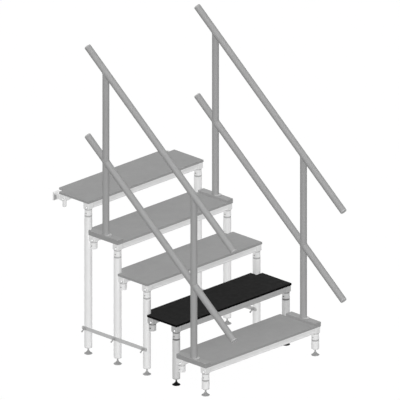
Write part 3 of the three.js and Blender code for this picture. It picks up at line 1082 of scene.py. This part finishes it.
def saddle(x, y, drop, upper):
    """The line where a post meets a sloping rail of the same thickness."""
    cosine = 1 / math.hypot(1, SLOPE)
    sine = SLOPE * cosine
    points = []
    for i in range(SADDLE_POINTS + 1):
        angle = 2 * math.pi * i / SADDLE_POINTS
        across, along = TUBE_RADIUS * math.cos(angle), TUBE_RADIUS * math.sin(angle)
        rise = abs(along) * (1 if upper else -1)
        points.append((x + across, y + along, rail_z(y, drop) + (rise + along * sine) / cosine))
    return points


def flange_plate():
    """A plate with round ends from under a post to under the disc in front of it."""
    half_turn = [math.pi * i / PLATE_POINTS for i in range(PLATE_POINTS + 1)]
    arc = [Vector((math.cos(a), math.sin(a))) * FLANGE_RADIUS for a in half_turn]
    outline = arc + [-point - Vector((0, FLANGE_OFFSET)) for point in arc]
    return prism(outline, 0, FLANGE_PLATE, "Z", round_by=0, soft=0.9)


def handrail(side):
    x = leg_x(side)
    direction = Vector((0, GOING, RISER)).normalized()
    first_y = POST_SETBACK - FRONT_OVERHANG
    last_y = front_of(POST_STEPS[-1]) + POST_SETBACK + REAR_OVERHANG
    tubes, caps, welds, flanges = [], [], [], []
    for drop in RAIL_DROPS:
        start, end = (Vector((x, y, rail_z(y, drop))) for y in (first_y, last_y))
        low, high = RAIL_CAP, (end - start).length - RAIL_CAP
        profile = near(TUBE_RADIUS, low, (-0.5, 0.1), (0, 0.7))
        profile += near(TUBE_RADIUS, high, (0, -0.7), (-0.5, -0.1))
        tubes.append(aimed(lathe(profile, TUBE_ROUND), start, direction))
        caps.append(aimed(lathe(END_CAP), start, direction))
        caps.append(aimed(lathe(END_CAP), end, -direction))
    for step in POST_STEPS:
        y = front_of(step) + POST_SETBACK
        bottom = top_of(step) + 2 * SEAT_GAP + BASE_HEIGHT
        ends = (bottom + POST_START, rail_z(y, 0) + POST_END)
        tubes.append(moved(lathe([(TUBE_RADIUS, z) for z in ends], TUBE_ROUND), x, y))
        welds += [bead(saddle(x, y, *spot), SADDLE_BEAD) for spot in POST_SADDLES]
        ring = circle_ring(TUBE_RADIUS + FLANGE_BEAD_GAP, FLANGE_HEIGHT, FLANGE_BEAD_POINTS)
        welds.append(moved(bead(ring + ring[:1], FLANGE_BEAD), x, y, bottom))
        flanges += placed([flange_plate()], (x, y, bottom), 0)
        flanges += placed([lathe(DISC)], (x, y - FLANGE_OFFSET, bottom), 1)
    piece(
        f"rail_tubes_{side}", placed(tubes), [rail_coat],
        "stairs", [f"handrail_{side}"],
    )
    piece(f"rail_caps_{side}", placed(caps), [rail_cap_look], "stairs")
    piece(f"rail_welds_{side}", placed(welds), [rail_weld], "stairs")
    piece(f"rail_flanges_{side}", flanges, [rail_coat, flange_look], "stairs")


def rail_base(step, side):
    x = 0 if side == "left" else WIDTH - NOTCH
    corners = [(0, 0), (NOTCH, 0), (NOTCH, BASE_HEIGHT), (0, BASE_HEIGHT)]
    bar = prism(corners, 0, GOING, "Y", round_by=[0.8, 0.8, 2.2, 2.2], soft=1)
    piece(
        f"post_base_{step}_{side}",
        placed([bar], (x, front_of(step), top_of(step) + SEAT_GAP)), [base_look],
        "stairs", [f"rail_base_{step}_{side}"],
    )


# -------------------------------- claws and knobs

# The claw's head seen from the side, as (Y, Z) corners, and their radii.
CLAW_HEAD = [
    (CLAW_HEAD_FRONT, CLAW_HEAD_TOP), (CLAW_HEAD_FRONT, CLAW_HEAD_BOTTOM + 18),
    (CLAW_HEAD_BACK - 5, CLAW_HEAD_BOTTOM), (CLAW_HEAD_BACK, CLAW_HEAD_BOTTOM),
    (CLAW_HEAD_BACK, CLAW_HEAD_TOP),
]
CLAW_HEAD_RADII = (2, 3, 1.5, 1, 2)
# A dark patch on its outer face, which paints the shade there, and where it starts and ends from
# the middle of the head.
PATCH_FRONT, PATCH_BACK, PATCH_TOP = CLAW_HEAD_FRONT + 1.5, CLAW_HEAD_FRONT + 25, -28
CLAW_SHADE_PATCH = [
    (PATCH_FRONT, PATCH_TOP), (PATCH_FRONT, CLAW_HEAD_BOTTOM + 19),
    (PATCH_BACK, CLAW_HEAD_BOTTOM + 5), (PATCH_BACK, PATCH_TOP),
]
PATCH_ENDS = (HEAD_HALF - 1, HEAD_HALF + 1.2)
# The knob, as (radius, height) points.
KNOB = (
    near(KNOB_RADIUS, KNOB_BOTTOM, (-7, 0), (-4, 0.5), (-1.6, 2.2), (-0.4, 4.4), (0, 7))
    + near(KNOB_RADIUS, KNOB_TOP, (0, -4), (0, -2), (-0.6, -0.6), (-1.6, 0))
)
FLUTES = 10
FLUTE_DEPTH = 0.05
FLUTE_END = 3


def stage_claw(side):
    """A shank in the frame's channel, the body behind the frame, and the head with a dark patch
    that paints the shade on its outer face.
    """
    shank = block(
        (-CLAW_HALF, CLAW_HALF), (REAR_HEAD_BACK - CLAW_GRIP, CLAW_NECK_END),
        (SHANK_Z - CLAW_HALF, SHANK_Z + CLAW_HALF), "Y", round_by=1.4, soft=0.8,
    )
    body = block(
        (-CLAW_BODY_HALF, CLAW_BODY_HALF), (REAR_HEAD_BACK + SEAT_GAP, CLAW_NECK_END),
        (-RAIL_BOTTOM_DROP, CLAW_BODY_TOP), "Y", round_by=2.5, soft=1,
    )
    head = prism(CLAW_HEAD, -HEAD_HALF, HEAD_HALF, "X", CLAW_HEAD_RADII, soft=1.2)
    ends = sorted(outward(side) * end for end in PATCH_ENDS)
    shade_patch = prism(CLAW_SHADE_PATCH, *ends, "X", round_by=3, soft=0.6)
    up = (leg_x(side), front_of(TOP_STEP), top_of(TOP_STEP))
    body_name = f"stage_claw_{side}_body"
    piece(
        f"claw_{side}", placed([shank, body, head], up), [claw_look],
        body_name, [f"stage_claw_{side}"],
    )
    # The head's dark patch, painted shade.
    piece(f"claw_shade_patch_{side}", placed([shade_patch], up), [claw_shade_patch_look], body_name)


def claw_knob(side):
    """A fluted knob under the frame, and its stem up to the claw's shank."""

    def fluted(angle, height):
        if not KNOB_BOTTOM + FLUTE_END < height < KNOB_TOP - FLUTE_END:
            return 1
        return 1 - FLUTE_DEPTH * (1 - abs(math.cos(FLUTES / 2 * angle))) ** 2

    knob = lathe(KNOB, KNOB_ROUND, grip=fluted)
    stem_top = SHANK_Z - CLAW_HALF - SEAT_GAP
    stem = threaded(STEM_RADIUS, STEM_BOTTOM, stem_top, *COARSE_THREAD)
    up = (leg_x(side), front_of(TOP_STEP) + REAR_SOCKET_Y, top_of(TOP_STEP))
    piece(
        f"knob_{side}", placed([knob, stem], up), [knob_look],
        f"claw_knob_{side}_body", [f"claw_knob_{side}"],
    )


for step in STEPS:
    tread_board(step)
    tread_frame(step)
    for side in SIDES:
        leg(step, side)
        leg_collar(step, side)
        level_foot(step, side)
        if step in TIE_STEPS:
            clamp_lever(step, side)
        if step in POST_STEPS:
            rail_base(step, side)
for side in SIDES:
    tie_bar(side)
    handrail(side)
    stage_claw(side)
    claw_knob(side)


# -------------------------------- floor, light and camera
# From here on, sizes are in metres.

WHITE = (1, 1, 1, 1)
WORLD_LIGHT = 0.2
# The strength of a lamp, and the direction that its light comes from.
LIGHTS = {
    "soft_key": (2.6, (-0.77, -0.3, 0.56)),
    "front_fill": (1.34, (0.15, -0.98, 0)),
    "back_fill": (1.3, (0.42, 0.75, 0.5)),
    "top_fill": (0.4, (0, 0, 1)),
    "bounce": (1.1, (0.7, 0.6, -0.38)),
}
LIGHT_ANGLE = math.radians(40)
FLOOR_HALF = 15
FLOOR_TONE = (0.2, 0.2, 0.2, 1)
FLOOR_SHADE = 0.12
# The photograph is a parallel projection from the front left, 21 degrees up.
CAMERA_AZIMUTH = math.radians(45.48)
CAMERA_ELEVATION = math.radians(21.16)
CAMERA_TARGET = ORIGIN + Vector((0.5, 0.54, 1.0006))
CAMERA_DISTANCE = 8
CAMERA_SPAN = 2.431


def seen_directly(tree):
    """1 for what the camera sees, also in metal and through glass."""
    path = tree.nodes.new("ShaderNodeLightPath")
    total = path.outputs["Is Camera Ray"]
    for name in ("Is Glossy Ray", "Is Transmission Ray"):
        add = add_node(tree, "ShaderNodeMath", links={0: total, 1: path.outputs[name]})
        add.operation = "MAXIMUM"
        total = add.outputs[0]
    return total


def make_world():
    """A white backdrop that lights the object less than white would."""
    world = bpy.data.worlds.new("studio")
    world.use_nodes = True
    tree = world.node_tree
    tree.nodes.clear()
    light, seen = (
        add_node(tree, "ShaderNodeBackground", {"Color": WHITE, "Strength": strength})
        for strength in (WORLD_LIGHT, 1)
    )
    mixer = add_node(tree, "ShaderNodeMixShader", links={
        0: seen_directly(tree), 1: light.outputs[0], 2: seen.outputs[0],
    })
    add_node(tree, "ShaderNodeOutputWorld", links={"Surface": mixer.outputs[0]})
    bpy.context.scene.world = world


def make_floor():
    """A plain floor that is white to the camera but for the object's faint shade, and that
    throws little light back on the object."""
    mesh = bpy.data.meshes.new("floor")
    signs = ((-1, -1), (1, -1), (1, 1), (-1, 1))
    corners = [(FLOOR_HALF * sx, FLOOR_HALF * sy, 0) for sx, sy in signs]
    mesh.from_pydata(corners, [], [(0, 1, 2, 3)])
    material = bpy.data.materials.new("pale_floor")
    material.use_nodes = True
    tree = material.node_tree
    tree.nodes.clear()
    seen = seen_directly(tree)
    tone = tree.nodes.new("ShaderNodeMix")
    tone.data_type = "RGBA"
    tone.inputs["A"].default_value = FLOOR_TONE
    tone.inputs["B"].default_value = WHITE
    tree.links.new(seen, tone.inputs["Factor"])
    diffuse = add_node(tree, "ShaderNodeBsdfDiffuse", links={"Color": tone.outputs["Result"]})
    white = add_node(tree, "ShaderNodeEmission", {"Strength": 1})
    shown = add_node(tree, "ShaderNodeMath", {1: 1 - FLOOR_SHADE}, {0: seen})
    shown.operation = "MULTIPLY"
    mixer = add_node(tree, "ShaderNodeMixShader", links={
        0: shown.outputs[0], 1: diffuse.outputs[0], 2: white.outputs[0],
    })
    add_node(tree, "ShaderNodeOutputMaterial", links={"Surface": mixer.outputs[0]})
    mesh.materials.append(material)
    add_object("floor", mesh)


def make_light(name, strength, direction):
    """A far, wide lamp. Like those of the photograph it casts no shadow, so that corners and
    the floor darken by the world's light alone, and metal reflects the backdrop, not the lamp."""
    light = bpy.data.lights.new(name, "SUN")
    light.energy = strength
    light.angle = LIGHT_ANGLE
    light.use_shadow = False
    lamp = add_object(name, light)
    lamp.visible_glossy = False
    lamp.rotation_euler = Vector(direction).to_track_quat("Z", "Y").to_euler()


def make_camera():
    back = Vector((
        -math.sin(CAMERA_AZIMUTH) * math.cos(CAMERA_ELEVATION),
        -math.cos(CAMERA_AZIMUTH) * math.cos(CAMERA_ELEVATION),
        math.sin(CAMERA_ELEVATION),
    ))
    lens = bpy.data.cameras.new("camera")
    lens.type = "ORTHO"
    lens.ortho_scale = CAMERA_SPAN
    camera = add_object("camera", lens)
    camera.location = CAMERA_TARGET + back * CAMERA_DISTANCE
    camera.rotation_euler = back.to_track_quat("Z", "Y").to_euler()
    bpy.context.scene.camera = camera


make_world()
make_floor()
for name, (strength, direction) in LIGHTS.items():
    make_light(name, strength, direction)
make_camera()
bpy.context.scene.view_settings.view_transform = "Standard"
